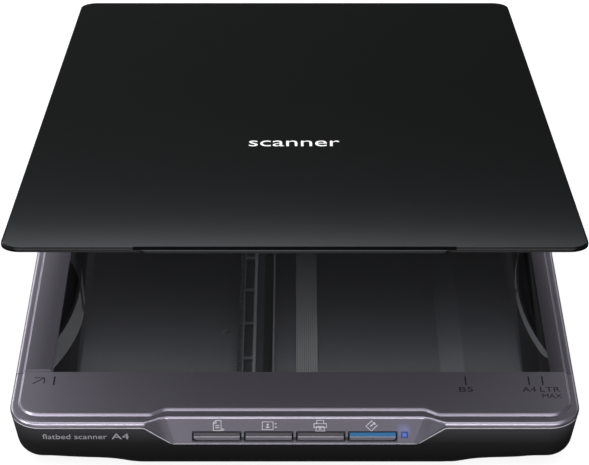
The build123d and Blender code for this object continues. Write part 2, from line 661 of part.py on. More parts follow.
def write_electronics():
    (x0, x1), (y0, y1), z = BOARD_X, BOARD_Y, BOARD_Z
    board = slab(x0, x1, y0, y1, z, z + 1.6)
    for x, y in BOARD_POSTS:
        board -= post(x, y, z - 1, z + 3, 0.85)
    save("main_board", board)
    top = z + 1.6
    save("controller_chip", slab(16, 28, 155, 167, top, top + 1.2))
    save("memory_chip", slab(31, 38, 153, 161, top, top + 1.0))
    caps = [post(x, y, top, top + 2.4, 1.6) for x, y in ((52, 154), (56.5, 154), (52, 168))]
    save("capacitors", group(caps))
    ribbon_x0, ribbon_x1 = RIBBON_X
    save("ribbon_connector", slab(ribbon_x0 - 1, ribbon_x1 + 1, 152, 155.4, top, top + 1.8))
    usb = slab(USB_X - USB_W / 2, USB_X + USB_W / 2, 169, 178.5, top, top + USB_H)
    usb -= slab(USB_X - USB_W / 2 + 0.4, USB_X + USB_W / 2 - 0.4, 170, 180, top + 0.4,
                top + USB_H - 0.4)
    save("usb_shell", usb)
    save("usb_tongue", slab(USB_X - 2.6, USB_X + 2.6, 170, 177.5, top + 1.5, top + 2.1))
    save("board_screws", group([screw_down(x, y) for x, y in BOARD_POSTS]))


def screw_down(x, y):
    """A screw whose head is on top, holding the main board to its post."""
    top = BOARD_Z + 1.6
    head = post(x, y, top, top + 1.0, 1.7)
    return head + post(x, y, ROOM_Z + 0.6, top, 0.8)


def ribbon():
    """Flat cable along the floor, which turns up to the carriage at its front end."""
    x0, x1 = RIBBON_X
    z, thick, end_y = 2.9, 0.25, -149.5
    board_y, board_top = 151.9, BOARD_Z + 2.6
    low = slab(x0, x1, end_y + 4, 138, z, z + thick)
    rise = prism_yz([(end_y + 4, z), (end_y + 4, z + thick), (end_y + thick, z + 4),
                     (end_y + thick, 13.0), (end_y, 13.0), (end_y, z + 3.9)], x0, x1)
    climb = prism_yz([(138, z), (board_y - 4, board_top - thick), (board_y, board_top - thick),
                      (board_y, board_top), (board_y - 4.1, board_top), (138, z + thick)],
                     x0, x1)
    return low + rise + climb


def write_carriage():
    save("carriage_ribbon", ribbon())
    save("carriage_tray", carriage_tray())
    save("sensor_springs", sensor_springs())
    save("sensor_housing", sensor_housing())
    (x0, x1), (y0, y1) = BAR_X, BAR_Y
    save("lens_array", slab(x0 + 4.2, x1 - 4.2, y0 + 6.0, y0 + 8.4, 19.0, 25.4))
    save("light_guide", bar_x(x0 + 4.5, x1 - 4.5, y0 + 3.9, 22.0, 1.5))
    save("lamp_led", slab(x0 + 4.05, x0 + 4.45, y0 + 2.6, y0 + 5.2, 20.8, 23.2))
    save("sensor_board", slab(x0 + 4.1, x1 - 4.1, y0 + 2.1, y1 - 2.1, 17.0, 18.2))
    save("sensor_chips", slab(x0 + 6, x1 - 6, y0 + 6.6, y0 + 7.8, 18.2, 18.6))
    pads = [slab(x, x + 5, y0 + 9.5, y1 - 1, 26.0, GLASS_Z[0] - 0.1)
            for x in (x0 + 0.5, x1 - 5.5)]
    save("glide_pads", group(pads))
    save("drive_motor", post(MOTOR_X, MOTOR_Y, 13.2, 20.0, 7.0)
         - post(MOTOR_X, MOTOR_Y, 13, 15.2, 0.85))
    save("motor_pinion", motor_pinion())
    save("reduction_gear", reduction_gear())
    save("gear_axle", post(PINION_X, PINION_Y, 3.6, 12.0, 1.0))


def write_lid():
    save("lid_cover", raised(lid_cover()))
    save("lid_inner_panel", raised(lid_inner_panel()))
    save("mat_foam", raised(slab(*MAT, MAT_Z[1], LID_FOOT)))
    save("mat_sheet", raised(slab(*MAT, *MAT_Z)))
    half = BUMPER_W / 2
    bumpers = [slab(x - half, x + half, y - half, y + half, DECK_Z + 0.1, LID_FOOT)
               for x, y in BUMPERS]
    save("lid_bumpers", raised(group(bumpers)))
    screws = [screw(x, y, LID_FOOT - 0.35, 36.8, 1.9, 1.2, 0.3) for x, y in LID_SCREWS]
    save("lid_screws", raised(group(screws)))
    pins = [bar_x(sx * HINGE_X - 9.4, sx * HINGE_X + 9.4, PIVOT_Y, PIVOT_Z, PIN_R)
            for sx in (-1, 1)]
    save("hinge_pins", raised(group(pins)))
    save("left_hinge_post", hinge_post(-1))
    save("right_hinge_post", hinge_post(1))


write_base()
write_controls()
write_electronics()
write_carriage()
write_lid()
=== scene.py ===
import json
import math

import bmesh
import bpy
from mathutils import Matrix, Vector

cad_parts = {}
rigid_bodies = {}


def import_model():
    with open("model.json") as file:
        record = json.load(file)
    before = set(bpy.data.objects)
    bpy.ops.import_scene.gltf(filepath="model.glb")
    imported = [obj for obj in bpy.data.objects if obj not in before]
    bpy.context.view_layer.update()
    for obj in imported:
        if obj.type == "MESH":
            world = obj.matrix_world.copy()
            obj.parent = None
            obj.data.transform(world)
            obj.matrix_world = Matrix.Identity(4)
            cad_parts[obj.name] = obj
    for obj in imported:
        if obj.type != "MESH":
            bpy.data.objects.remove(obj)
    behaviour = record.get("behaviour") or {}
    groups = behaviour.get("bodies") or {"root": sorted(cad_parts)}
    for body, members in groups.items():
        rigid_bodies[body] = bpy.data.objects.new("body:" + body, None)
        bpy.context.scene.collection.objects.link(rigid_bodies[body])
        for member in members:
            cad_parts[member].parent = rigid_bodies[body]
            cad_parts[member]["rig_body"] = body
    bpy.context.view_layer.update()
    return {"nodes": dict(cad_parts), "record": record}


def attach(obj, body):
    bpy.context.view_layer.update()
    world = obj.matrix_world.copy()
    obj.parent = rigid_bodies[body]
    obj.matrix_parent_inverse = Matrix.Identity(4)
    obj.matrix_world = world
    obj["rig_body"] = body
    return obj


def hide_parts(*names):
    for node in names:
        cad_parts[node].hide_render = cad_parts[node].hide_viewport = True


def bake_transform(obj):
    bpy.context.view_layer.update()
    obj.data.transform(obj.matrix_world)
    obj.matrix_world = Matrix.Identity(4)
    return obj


# A4 flatbed scanner.  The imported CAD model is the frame; this script gives it its finishes,
# printed marks, small details, camera and light.  Metres: x right, y to the rear, z up.

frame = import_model()
nodes = frame["nodes"]
scene = bpy.context.scene
MM = 0.001

# ---- Places that the marks and details are set out from, in millimetres ------------------
PANEL_TOP = (-177.86, 28.6)          # y, z of the control panel's upper edge
PANEL_BOTTOM = (-181.43, 17.75)
BUTTON_Z, BUTTON_PITCH = 20.8, 22.6
LED_X, LED_UP, LED_HALF = 47.7, 0.75, 1.4
DECK_Z = 30.5
ORIGIN_X, TICK_Y = -106.4, (-157.2, -151.0)
PAPER_WIDTHS = (0.0, 182.0, 210.0, 216.0)
WALL_FRONT, PARTING_Z, DRAFT = -182.0, 27.2, math.radians(8.0)
CORNER, STRAIGHT_X = 14.0, 110.5     # the base's corner radius, and where its front wall ends
PIVOT_Y, PIVOT_Z, LID_TOP = 171.5, 34.5, 39.0
LID_OPEN = math.radians(12.6)
RIBBON_X, RIBBON_PITCH = (0.7, 10.9), 1.02
RACK_EDGE_X = -24.4                  # the pale edge of the rack starts here
TRAY_MIDDLE_X, TRAY_HALF = 2.75, 102.0
FRAME_COLOUR = (0.29, 0.275, 0.318)
X_AXIS = (1, 0, 0)


# ---- Camera: in front, square to the scanner, looking down on it ------------------------
PITCH = math.radians(35.396)
cam_data = bpy.data.cameras.new("camera")
cam_data.sensor_width = 36.0
cam_data.lens = 122.93
cam_data.clip_start, cam_data.clip_end = 0.01, 50.0
cam = bpy.data.objects.new("camera", cam_data)
cam.location = (-0.00009, -0.8419, 0.5996)
cam.rotation_euler = (math.pi / 2 - PITCH, 0.0, 0.0)
scene.collection.objects.link(cam)
scene.camera = cam
scene.view_settings.view_transform = "Standard"


# ---- Materials ----------------------------------------------------------------------------
class Maker:
    """Builds one material's node tree."""

    def __init__(self, name):
        self.mat = bpy.data.materials.new(name)
        self.mat.use_nodes = True
        self.tree = self.mat.node_tree
        self.bsdf = self.tree.nodes["Principled BSDF"]
        self.out = self.tree.nodes["Material Output"]

    def link(self, a, b):
        self.tree.links.new(a, b)

    def coords(self):
        """Places in the object's own frame, in metres."""
        return self.tree.nodes.new("ShaderNodeTexCoord").outputs["Object"]

    def noise(self, scale, detail, rough=0.5):
        """Even noise from 0 to 1; scale counts its waves in a metre."""
        n = self.tree.nodes.new("ShaderNodeTexNoise")
        n.inputs["Scale"].default_value = scale
        n.inputs["Detail"].default_value = detail
        n.inputs["Roughness"].default_value = rough
        self.link(self.coords(), n.inputs["Vector"])
        return n.outputs["Fac"]

    def ramp(self, source, stops):
        """stops: (position, colour) pairs."""
        n = self.tree.nodes.new("ShaderNodeValToRGB")
        elements = n.color_ramp.elements
        while len(elements) < len(stops):
            elements.new(0.5)
        for element, (position, colour) in zip(elements, stops):
            element.position = position
            element.color = (*colour, 1.0)
        self.link(source, n.inputs["Fac"])
        return n.outputs["Color"]

    def spread(self, source, low, high, from_low, from_high):
        """Maps from_low..from_high to low..high, and holds the ends."""
        n = self.tree.nodes.new("ShaderNodeMapRange")
        n.inputs["From Min"].default_value = from_low
        n.inputs["From Max"].default_value = from_high
        n.inputs["To Min"].default_value = low
        n.inputs["To Max"].default_value = high
        self.link(source, n.inputs["Value"])
        return n.outputs["Result"]

    def math(self, operation, a, b=None):
        """A maths node; a and b are numbers or other nodes' outputs."""
        n = self.tree.nodes.new("ShaderNodeMath")
        n.operation = operation
        for socket, value in zip(n.inputs, (a, b)):
            if value is None:
                continue
            if isinstance(value, (int, float)):
                socket.default_value = value
            else:
                self.link(value, socket)
        return n.outputs["Value"]

    def along(self, direction, origin):
        """The distance, in millimetres, of a point of the surface along a direction."""
        shift = self.tree.nodes.new("ShaderNodeVectorMath")
        shift.operation = "SUBTRACT"
        self.link(self.coords(), shift.inputs[0])
        shift.inputs[1].default_value = Vector(origin) * MM
        dot = self.tree.nodes.new("ShaderNodeVectorMath")
        dot.operation = "DOT_PRODUCT"
        self.link(shift.outputs[0], dot.inputs[0])
        dot.inputs[1].default_value = Vector(direction) / MM
        return dot.outputs["Value"]

    def blend(self, factor, a, b):
        """Colour a where factor is 0 and colour b where it is 1."""
        n = self.tree.nodes.new("ShaderNodeMix")
        n.data_type = "RGBA"
        self.link(factor, n.inputs["Factor"])
        for socket, value in ((n.inputs[6], a), (n.inputs[7], b)):
            if isinstance(value, tuple):
                socket.default_value = (*value, 1.0)
            else:
                self.link(value, socket)
        return n.outputs[2]

    def bump(self, height, strength, distance):
        """Tilts the surface by a height; distance is in metres."""
        n = self.tree.nodes.new("ShaderNodeBump")
        n.inputs["Strength"].default_value = strength
        n.inputs["Distance"].default_value = distance
        self.link(height, n.inputs["Height"])
        self.link(n.outputs["Normal"], self.bsdf.inputs["Normal"])

    def mottled(self, colour, amount, scale=35.0):
        """A colour that wanders a little, by the given share, either way."""
        dark = tuple(c * (1 - amount) for c in colour)
        light = tuple(c * (1 + amount) for c in colour)
        return self.ramp(self.noise(scale, 4.0), [(0.35, dark), (0.65, light)])

    def finish(self, rough, rough_spread, grain, depth, metallic=0.0):
        """An uneven gloss, and a fine texture of the given grain and depth in metres."""
        self.link(self.spread(self.noise(60.0, 5.0), rough - rough_spread,
                              rough + rough_spread, 0.0, 1.0), self.bsdf.inputs["Roughness"])
        if depth:
            self.bump(self.noise(grain, 3.0, 0.6), 0.6, depth)
        self.bsdf.inputs["Metallic"].default_value = metallic


def plastic(name, colour, amount, *finish, **more):
    """Moulded material: a slightly mottled colour, an uneven gloss and a fine texture."""
    m = Maker(name)
    m.link(m.mottled(colour, amount), m.bsdf.inputs["Base Color"])
    m.finish(*finish, **more)
    return m.mat


def clear(name, colour, rough):
    """Glass or acrylic that lets the lamps' light through to what is under it."""
    m = Maker(name)
    m.bsdf.inputs["Base Color"].default_value = (*colour, 1.0)
    m.bsdf.inputs["Roughness"].default_value = rough
    m.bsdf.inputs["IOR"].default_value = 1.5
    m.bsdf.inputs["Transmission Weight"].default_value = 1.0
    path = m.tree.nodes.new("ShaderNodeLightPath")
    see = m.tree.nodes.new("ShaderNodeBsdfTransparent")
    see.inputs["Color"].default_value = (*[c ** 0.5 for c in colour], 1.0)
    mix = m.tree.nodes.new("ShaderNodeMixShader")
    m.link(path.outputs["Is Shadow Ray"], mix.inputs["Fac"])
    m.link(m.bsdf.outputs["BSDF"], mix.inputs[1])
    m.link(see.outputs["BSDF"], mix.inputs[2])
    m.link(mix.outputs["Shader"], m.out.inputs["Surface"])
    return m.mat


# Directions on the sloping control panel, and the middle of its button row.
rise, back = PANEL_TOP[1] - PANEL_BOTTOM[1], PANEL_TOP[0] - PANEL_BOTTOM[0]
UP_PANEL = Vector((0.0, back, rise)).normalized()
OUT_PANEL = Vector(X_AXIS).cross(UP_PANEL)
BUTTON_ROW = (0.0, PANEL_BOTTOM[0] + back * (BUTTON_Z - PANEL_BOTTOM[1]) / rise, BUTTON_Z)


def lit_lens():
    """The status light: a pale blue square in a deep blue rim."""
    m = Maker("lens_blue")
    across = m.math("ABSOLUTE", m.along(X_AXIS, (LED_X, 0, 0)))
    up = m.math("ABSOLUTE", m.math("SUBTRACT", m.along(UP_PANEL, BUTTON_ROW), LED_UP))
    edge = m.math("MAXIMUM", across, up)
    m.link(m.ramp(m.spread(edge, 0.0, 1.0, 0.0, LED_HALF),
                  [(0.0, (0.10, 0.19, 0.50)), (0.60, (0.07, 0.12, 0.32)),
                   (0.78, (0.015, 0.035, 0.14))]),
           m.bsdf.inputs["Emission Color"])
    m.bsdf.inputs["Emission Strength"].default_value = 1.0
    m.link(m.mottled((0.01, 0.02, 0.1), 0.05), m.bsdf.inputs["Base Color"])
    m.finish(0.3, 0.02, 1500, 0.0)
    return m.mat


def striped_ribbon():
    """Flat cable: grey insulation, paler conductors along it, painted shade deeper to the rear.
    """
    m = Maker("ribbon_grey")
    x = m.along(X_AXIS, (RIBBON_X[0], 0, 0))
    wave = m.math("SINE", m.math("MULTIPLY", x, 2 * math.pi / RIBBON_PITCH))
    stripes = m.ramp(m.spread(wave, 0.0, 1.0, -1.0, 1.0),
                     [(0.25, (0.23, 0.23, 0.235)), (0.75, (0.38, 0.38, 0.38))])
    y = m.along((0, 1, 0), (0, 0, 0))
    m.link(m.blend(m.spread(y, 0.0, 0.85, -95.0, -20.0), stripes, (0.02, 0.02, 0.02)),
           m.bsdf.inputs["Base Color"])
    m.finish(0.45, 0.05, 900, 0.00001)
    return m.mat


def edged_rack():
    """The toothed rack, with a pale line along the edge away from its teeth."""
    m = Maker("rack_grey")
    x = m.along(X_AXIS, (RACK_EDGE_X, 0, 0))
    m.link(m.blend(m.spread(x, 0.0, 1.0, -0.05, 0.05), m.mottled((0.05, 0.052, 0.056), 0.08),
                   m.mottled((0.16, 0.16, 0.17), 0.05)), m.bsdf.inputs["Base Color"])
    m.finish(0.45, 0.05, 1800, 0.00002)
    return m.mat


def shaded_outer_shell():
    """The lower housing outside: satin black with painted light, paler towards its upper edge."""
    m = Maker("housing_black")
    height = m.along((0, 0, 1), (0, 0, 0))
    m.link(m.ramp(m.spread(height, 0.0, 1.0, 8.0, 27.0),
                  [(0.0, (0.013, 0.013, 0.013)), (0.45, (0.028, 0.028, 0.028)),
                   (0.75, (0.075, 0.075, 0.079)), (1.0, (0.115, 0.113, 0.126))]),
           m.bsdf.inputs["Base Color"])
    m.finish(0.42, 0.04, 2600, 0.00003)
    return m.mat


def satin_grey(name, depth, rough=0.3):
    """The frame's metallic paint, made paler or darker along x as painted light and shade;
    depth: (x in mm, times the plain colour) pairs.
    """
    m = Maker(name)
    half = 126.0
    x = m.along(X_AXIS, (0, 0, 0))
    stops = [((at + half) / (2 * half), tuple(k * c for c in FRAME_COLOUR)) for at, k in depth]
    m.link(m.ramp(m.spread(x, 0.0, 1.0, -half, half), stops), m.bsdf.inputs["Base Color"])
    m.finish(rough, 0.02, 3000, 0.00001, metallic=0.72)
    return m.mat


def tray_painted_light(name, times):
    """The inside of the tray: textured grey with painted light, pale at the front and nearly
    black further in, and a deeper grey at the sides. Stops are (y in mm, brightness) pairs."""
    m = Maker(name)
    y0, y1 = -130.0, -20.0
    y = m.along((0, 1, 0), (0, 0, 0))
    stops = [((at - y0) / (y1 - y0), (times * k, times * k * 1.02, times * k * 1.12))
             for at, k in ((-118, 0.165), (-110, 0.150), (-98, 0.094), (-83, 0.058), (-67, 0.034),
                           (-51, 0.018), (-23, 0.007))]
    middle = m.ramp(m.spread(y, 0.0, 1.0, y0, y1), stops)
    aside = m.math("ABSOLUTE", m.along(X_AXIS, (TRAY_MIDDLE_X, 0, 0)))
    m.link(m.blend(m.spread(aside, 0.0, 1.0, TRAY_HALF, TRAY_HALF + 0.6), middle,
                   (0.042, 0.042, 0.045)), m.bsdf.inputs["Base Color"])
    m.finish(0.5, 0.04, 2600, 0.00003)
    return m.mat


# Paints for faces of CAD parts. The tray ones carry painted light, pale at the front and dark
# further in; in the satin ones, the paler and darker stretches along x are painted light and
# shade.
inside_grey = tray_painted_light("housing_inside", 1.0)
strip_paint = tray_painted_light("floor_strip", 1.3)
frame_grey = satin_grey("frame_grey", ((-124, 1.75), (-105, 1.6), (-80, 1.25), (-40, 1.0),
                                       (0, 0.95), (60, 1.0), (110, 1.25), (124, 1.3)))
# Rails: painted light, pale on the left, and painted shade on their inner edges under the lid.
rail_lit_and_shaded = satin_grey("rail_lit_and_shaded", ((-124, 1.75), (-119, 1.2), (-112, 0.85), (111, 0.25),
                                       (118, 0.6), (123, 1.1)))
# Painted highlight: the front roll about twice as pale as the frame, and glossier.
crest_highlight = satin_grey("crest_highlight", ((-124, 1.7), (-108, 2.3), (60, 2.4), (112, 2.2),
                                         (124, 1.8)), 0.24)
# Painted shade in the hollows beside the panel, darkest on the right.
cheek_shade = satin_grey("cheek_shade", ((-66, 0.85), (-50, 0.92), (50, 0.85), (58, 0.62)))
# Painted highlight: the parting bead coloured near white.
bead_highlight = plastic("bead_highlight_grey", (0.94, 0.92, 0.97), 0.03, 0.35, 0.02, 3000, 0.00001)
key_paint = plastic("key_grey", (0.66, 0.63, 0.70), 0.05, 0.32, 0.02, 3000, 0.00001,
                    metallic=0.6)
# Painted shade on the grey keys' upper faces.
key_top_painted_shade = plastic("key_top_painted_shade", (0.10, 0.095, 0.108), 0.05, 0.35, 0.02, 3000, 0.00001,
                    metallic=0.4)
key_blue = plastic("key_blue", (0.03, 0.20, 0.42), 0.05, 0.35, 0.02, 3000, 0.00001,
                   metallic=0.2)
lid_black = plastic("lid_black", (0.0055, 0.0062, 0.006), 0.05, 0.07, 0.005, 1800, 0.000001)
grey_paint = plastic("rail_light", (0.24, 0.24, 0.25), 0.05, 0.5, 0.05, 1500, 0.00002)
rib_paint = plastic("rib_grey", (0.26, 0.26, 0.27), 0.05, 0.45, 0.05, 1500, 0.00002)
# Painted shade: near black for deep recesses and for the gaps round the keys.
recess_shade = plastic("recess_shade_black", (0.008, 0.008, 0.009), 0.06, 0.6, 0.04, 2600, 0.00003)
white_ink = plastic("white_ink", (0.92, 0.92, 0.92), 0.02, 0.5, 0.03, 2000, 0.0)
grey_ink = plastic("grey_ink", (0.64, 0.64, 0.65), 0.02, 0.5, 0.03, 2000, 0.0)
dark_ink = plastic("dark_ink", (0.010, 0.010, 0.011), 0.05, 0.6, 0.03, 2000, 0.0)

# One finish for each material slot of the record.
FINISH = {
    "housing_black": shaded_outer_shell(),
    "frame_grey": frame_grey,
    "lid_black": lid_black,
    "lid_inside": plastic("lid_inside", (0.012, 0.012, 0.013), 0.05, 0.5, 0.04, 1800, 0.00003),
    "glass": clear("glass", (0.97, 0.98, 0.98), 0.0),
    "white_plastic": plastic("white_plastic", (0.80, 0.80, 0.79), 0.02, 0.55, 0.05, 1500,
                             0.00001),
    "mat_foam": plastic("mat_foam", (0.20, 0.20, 0.21), 0.12, 0.92, 0.04, 1400, 0.0002),
    "rubber": plastic("rubber", (0.02, 0.02, 0.02), 0.1, 0.8, 0.06, 1600, 0.00005),
    "key_grey": key_paint,
    "key_blue": key_paint,
    "lens_blue": lit_lens(),
    "circuit_board": plastic("circuit_board", (0.012, 0.075, 0.035), 0.2, 0.35, 0.05, 900,
                             0.00002),
    "chip_black": plastic("chip_black", (0.018, 0.018, 0.018), 0.1, 0.55, 0.05, 2500, 0.00002),
    "steel": plastic("steel", (0.52, 0.52, 0.53), 0.05, 0.28, 0.06, 900, 0.00001,
                     metallic=1.0),
    "inner_black": plastic("inner_black", (0.016, 0.016, 0.018), 0.08, 0.5, 0.05, 1800,
                           0.00003),
    "rail_grey": plastic("rail_grey", (0.06, 0.062, 0.068), 0.08, 0.45, 0.05, 1800, 0.00003),
    "gear_white": plastic("gear_white", (0.72, 0.71, 0.66), 0.03, 0.45, 0.05, 1200, 0.00001),
    "ribbon_grey": striped_ribbon(),
    "tape_black": plastic("tape_black", (0.02, 0.02, 0.02), 0.08, 0.6, 0.05, 1500, 0.00002),
    "clear_acrylic": clear("clear_acrylic", (0.95, 0.97, 0.97), 0.08),
    "aluminium_can": plastic("aluminium_can", (0.62, 0.62, 0.63), 0.04, 0.3, 0.05, 700,
                             0.00001, metallic=1.0),
}
for part in frame["record"]["subparts"]:
    mesh = nodes[part["node"]].data
    mesh.materials.clear()
    mesh.materials.append(FINISH[part["material_slot"]])
nodes["drive_rack"].data.materials[0] = edged_rack()


def paint(node, material, test):
    """Gives the faces of a CAD node that pass the test (centre in mm, normal) a material."""
    mesh = nodes[node].data
    mesh.materials.append(material)
    index = len(mesh.materials) - 1
    for face in mesh.polygons:
        if test(face.center / MM, face.normal):
            face.material_index = index


def inside(c, n):
    """Faces of the lower housing's room, and of what stands on its floor."""
    beside = abs(c.x) > 100 and n.x * c.x >= 0
    ahead = abs(c.y) > 155 and n.y * c.y >= 0
    return c.z > 2.6 and (n.z > 0.5 or n.z > -0.3 and not beside and not ahead)


def curved_rib(c, n):
    """The thin curved ribs left and right on the tray's floor."""
    return (98 < abs(c.x) < 118.6 and 6.31 < c.z < 11.7 and -128.1 < c.y < -5
            and -0.9 < n.z < 0.97 and abs(n.y) > 0.02)


def front_roll(c, n):
    """The rolled edge along the front ledge and over the control panel, for a painted highlight.
    """
    return c.y < -172 and 27.3 < c.z < 29.35 and 0.33 < n.z < 0.96 and n.y < -0.2


# The tray and what stands in it, in the tray's painted light: pale at the front, dark further in.
paint("lower_housing", inside_grey, inside)
# Painted shade on the tray's deep side walls under the rails.
paint("lower_housing", recess_shade,
      lambda c, n: inside(c, n) and abs(c.x) > 113.4 and 6.31 < c.z < 27)
paint("lower_housing", rib_paint, curved_rib)
paint("lower_housing", strip_paint,
      lambda c, n: 68 < c.x < 79 and 2.6 < c.z < 5.2 and n.z > 0.9)
paint("guide_rail", grey_paint,
      lambda c, n: n.z > 0.9 and (4.8 < c.z < 5.0 or 5.1 < c.z < 5.3 or c.z > 8.5))
paint("guide_rail", recess_shade, lambda c, n: n.z > 0.9 and c.z < 3.2)
# Painted light and shade on the rails, painted highlight on the front edge, painted shade in the
# hollows beside the panel and on the grey keys' tops; the start key's top is blue.
paint("top_frame", rail_lit_and_shaded, lambda c, n: abs(c.x) > 108 and c.y > -140 and n.z > 0.2)
for node in ("top_frame", "front_deck"):
    paint(node, crest_highlight, front_roll)
paint("front_deck", cheek_shade,
      lambda c, n: 50 < abs(c.x) < 68 and c.y < -174 and c.z < 29 and abs(n.x) > 0.12)
for key in ("page_button", "send_button", "copy_button"):
    paint(key, key_top_painted_shade, lambda c, n: n.z > 0.7)
paint("start_button", key_blue, lambda c, n: n.z > 0.55)


# ---- Pieces ----------------------------------------------------------------------------------
def place(origin, right, up):
    """A local frame: x along right, y along up, z out of the surface; origin in mm."""
    right, up = Vector(right).normalized(), Vector(up).normalized()
    out = right.cross(up)
    m = Matrix((right, up, out)).transposed().to_4x4()
    m.translation = Vector(origin) * MM
    return m


def add_piece(name, mesh, material, body="base"):
    """A new piece in one material, which rides on a body when one is given."""
    obj = bpy.data.objects.new(name, mesh)
    scene.collection.objects.link(obj)
    mesh.materials.clear()
    mesh.materials.append(material)
    if body:
        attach(obj, body)
    return obj


def mesh_of(bm, name):
    """Turns a finished bmesh into a mesh."""
    mesh = bpy.data.meshes.new(name)
    bm.to_mesh(mesh)
    bm.free()
    return mesh


def curve_mesh(name, curve):
    """The finished mesh of a curve or text."""
    temp = bpy.data.objects.new(name + "_temp", curve)
    scene.collection.objects.link(temp)
    bpy.context.view_layer.update()
    graph = bpy.context.evaluated_depsgraph_get()
    mesh = bpy.data.meshes.new_from_object(temp.evaluated_get(graph))
    bpy.data.objects.remove(temp)
    mesh.name = name
    return mesh


def strokes(name, paths, width, thick, at, material, body="base"):
    """Printed lines: each path is (points in mm, closed)."""
    curve = bpy.data.curves.new(name, "CURVE")
    curve.dimensions = "3D"
    curve.bevel_depth = width / 2 * MM
    curve.bevel_resolution = 2
    curve.use_fill_caps = True
    for points, closed in paths:
        spline = curve.splines.new("POLY")
        spline.points.add(len(points) - 1)
        for target, (x, y) in zip(spline.points, points):
            target.co = (x * MM, y * MM, 0.0, 1.0)
        spline.use_cyclic_u = closed
    mesh = curve_mesh(name, curve)
    mesh.transform(at @ Matrix.Diagonal((1.0, 1.0, thick / width, 1.0)))
    return add_piece(name, mesh, material, body)


def words(name, text, left, width, height, at, material, body="base", thick=0.05):
    """Raised lettering in Blender's own plain font, fitted to a width and a height in mm."""
    curve = bpy.data.curves.new(name, "FONT")
    curve.body = text
    curve.size = 0.01
    curve.extrude = 0.0005
    curve.resolution_u = 4
    mesh = curve_mesh(name, curve)
    xs = [v.co.x for v in mesh.vertices]
    ys = [v.co.y for v in mesh.vertices]
    sx = width * MM / (max(xs) - min(xs))
    sy = height * MM / (max(ys) - min(ys))
    fit = Matrix.Diagonal((sx, sy, thick / 2, 1.0)) @ Matrix.Translation((-min(xs), -min(ys), 0))
    mesh.transform(at @ Matrix.Translation((left * MM, 0.0, 0.0)) @ fit)
    return add_piece(name, mesh, material, body)


def ring(cx, cy, r, count=10):
    """The points of a small circle, in mm."""
    turns = [2 * math.pi * k / count for k in range(count)]
    return [(cx + r * math.cos(t), cy + r * math.sin(t)) for t in turns]


# Icons over the buttons: a page, a framed picture, a printer, and a tilted square.
ICON_UP, ICON_PITCH, INK = 5.05, BUTTON_PITCH * 0.98, 0.44
PAGE = [([(-2.1, -2.3), (-2.1, 1.2), (-1.0, 2.4), (1.3, 2.4), (1.3, -2.3)], True),
        ([(-2.1, 1.1), (-0.9, 1.1), (-0.9, 2.3)], False),
        ([(-1.2, 0.1), (0.5, 0.1)], False), ([(-1.2, -0.9), (0.5, -0.9)], False),
        ([(1.9, -1.2), (1.9, -2.4), (2.6, -1.6)], False)]
PICTURE = [([(-3.0, -1.8), (-3.0, 1.8), (1.7, 1.8), (1.7, -1.8)], True),
           (ring(-0.65, 0.45, 0.3), True), ([(-1.4, -0.95), (-0.9, -0.45), (-0.4, -0.45),
                                             (0.1, -0.95)], True),
           ([(-1.2, -0.8), (-0.1, -0.8)], False),
           ([(2.4, 0.9), (3.2, 0.9)], False), ([(2.4, -0.7), (3.4, -0.7)], False)]
PRINTER = [([(-2.7, -0.9), (-2.7, 1.0), (2.7, 1.0), (2.7, -0.9)], True),
           ([(-1.5, 1.1), (-1.5, 2.5), (1.5, 2.5), (1.5, 1.1)], False),
           ([(-1.6, -0.4), (-1.9, -2.5), (1.9, -2.5), (1.6, -0.4)], True),
           (ring(0.0, -0.75, 0.2), True), ([(-0.7, -1.75), (0.0, -1.35), (0.7, -1.75)], True)]
TILTED = [([(0.4, 2.4), (-2.3, -0.2), (0.1, -2.5), (2.7, 0.3)], False),
          ([(-0.4, -0.4), (1.5, 1.3)], False), ([(0.5, 1.4), (1.6, 1.4), (1.6, 0.3)], False)]
for k, (label, paths) in enumerate((("page", PAGE), ("picture", PICTURE),
                                    ("printer", PRINTER), ("tilted", TILTED))):
    centre = Vector(BUTTON_ROW) + Vector(((k - 1.5) * ICON_PITCH, 0, 0))
    at = place(centre + UP_PANEL * ICON_UP + OUT_PANEL * 0.02, X_AXIS, UP_PANEL)
    strokes("icon_" + label, paths, INK, 0.06, at, white_ink)


def on_panel(x, up, out):
    """A point of the panel, in metres: x from the middle, up its slope and out of it, in mm."""
    return (Vector(BUTTON_ROW) + Vector((x, 0, 0)) + UP_PANEL * up + OUT_PANEL * out) * MM


# Black rings round the keys: painted shade for the shadowed gaps between the keys and the panel.
KEY_W, KEY_H = 20.0, 3.6
SURROUND_IN, SURROUND_OUT = (0.33, 0.33), (0.75, 0.60)     # past the key, across and up
SURROUND_THICK, CLEAR = 0.06, 0.005
bm = bmesh.new()
for k in range(4):
    x = (k - 1.5) * BUTTON_PITCH
    loops = []
    for (wide, high), z in ((SURROUND_OUT, 0.0), (SURROUND_OUT, SURROUND_THICK),
                            (SURROUND_IN, SURROUND_THICK), (SURROUND_IN, 0.0)):
        loops.append([bm.verts.new(on_panel(x + sx * (KEY_W / 2 + wide), sy * (KEY_H / 2 + high),
                                            z + CLEAR))
                      for sx, sy in ((-1, -1), (1, -1), (1, 1), (-1, 1))])
    for a, b in zip(loops, loops[1:] + loops[:1]):
        for i in range(4):
            bm.faces.new((a[i], a[(i + 1) % 4], b[(i + 1) % 4], b[i]))
bmesh.ops.recalc_face_normals(bm, faces=bm.faces)
add_piece("key_gap_shade", mesh_of(bm, "key_gap_shade"), recess_shade)

